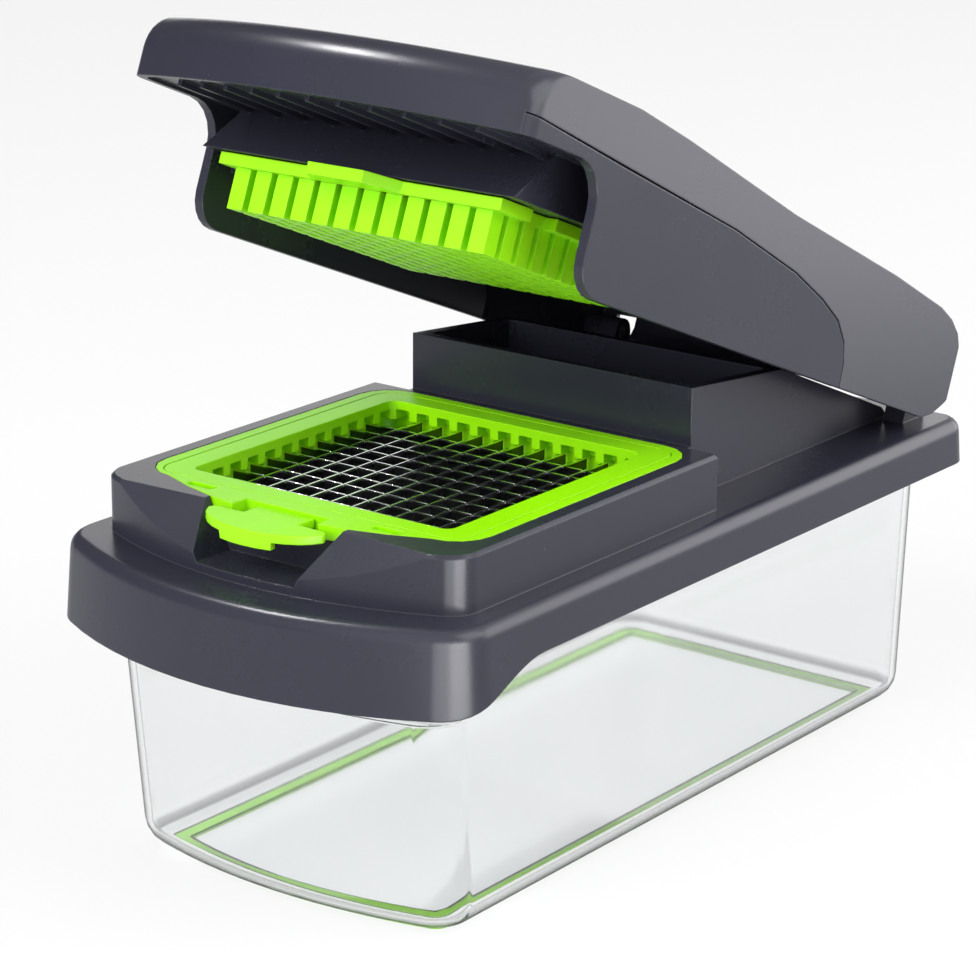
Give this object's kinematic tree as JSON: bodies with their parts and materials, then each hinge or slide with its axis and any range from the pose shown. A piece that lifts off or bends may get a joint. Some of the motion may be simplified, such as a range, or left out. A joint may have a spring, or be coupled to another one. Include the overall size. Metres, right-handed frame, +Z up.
{
  "type": "vegetable chopper",
  "caption": "Press-lid vegetable chopper: hinged lid with toothed pusher, dicing blade grid in a lift-out frame with latch tab, slate base and clear box.",
  "frame": {"origin": "on the table under the middle of the footprint", "axes": "+Z up, +Y towards the hinge at the rear, so -Y is the handle and latch side, and +X to the right seen from the front"},
  "size_m": [0.1216, 0.2378, 0.2008],
  "materials": {
    "clear_plastic": "clear polished plastic",
    "slate_plastic": "satin slate grey",
    "lime_plastic": "satin lime green",
    "lime_rubber": "matte lime",
    "blade_steel": "bright stainless strip"
  },
  "bodies": {
    "base": {"base": "slate_plastic", "hinge_pin_left": "blade_steel", "hinge_pin_right": "blade_steel"},
    "blade_insert": {"blade_clamp_ring": "lime_plastic", "blade_frame": "lime_plastic", "cross_blade_01": "blade_steel", "cross_blade_02": "blade_steel", "cross_blade_03": "blade_steel", "cross_blade_04": "blade_steel", "cross_blade_05": "blade_steel", "cross_blade_06": "blade_steel", "cross_blade_07": "blade_steel", "cross_blade_08": "blade_steel", "cross_blade_09": "blade_steel", "cross_blade_10": "blade_steel", "cross_blade_11": "blade_steel", "lengthwise_blade_01": "blade_steel", "lengthwise_blade_02": "blade_steel", "lengthwise_blade_03": "blade_steel", "lengthwise_blade_04": "blade_steel", "lengthwise_blade_05": "blade_steel", "lengthwise_blade_06": "blade_steel", "lengthwise_blade_07": "blade_steel", "lengthwise_blade_08": "blade_steel", "lengthwise_blade_09": "blade_steel", "lengthwise_blade_10": "blade_steel", "lengthwise_blade_11": "blade_steel"},
    "box": {"container": "clear_plastic", "non_slip_ring": "lime_rubber"},
    "latch": {"latch_tab": "lime_plastic"},
    "lid": {"lid_body": "slate_plastic", "lid_cover": "slate_plastic"},
    "pusher": {"pusher": "lime_plastic"}
  },
  "joints": [
    {"name": "base_lift", "type": "slide", "parent": "box", "child": "base", "axis": [0, 0, 1], "range_m": [0, 0.06]},
    {"name": "lid_hinge", "type": "hinge", "parent": "base", "child": "lid", "pos_m": [0, 0.1074, 0.0886], "axis": [-1, 0, 0], "range_deg": [-21.94, 60]},
    {"name": "blade_insert_lift", "type": "slide", "parent": "base", "child": "blade_insert", "axis": [0, 0, 1], "range_m": [0, 0.025]},
    {"name": "latch_tab_press", "type": "hinge", "parent": "blade_insert", "child": "latch", "pos_m": [0, -0.0896, 0.0912], "axis": [1, 0, 0], "range_deg": [0, 8], "stiffness_Nm_per_rad": 0.2},
    {"name": "pusher_pull", "type": "slide", "parent": "lid", "child": "pusher", "axis": [0, -0.3736, -0.9276], "range_m": [0, 0.018]}
  ]
}
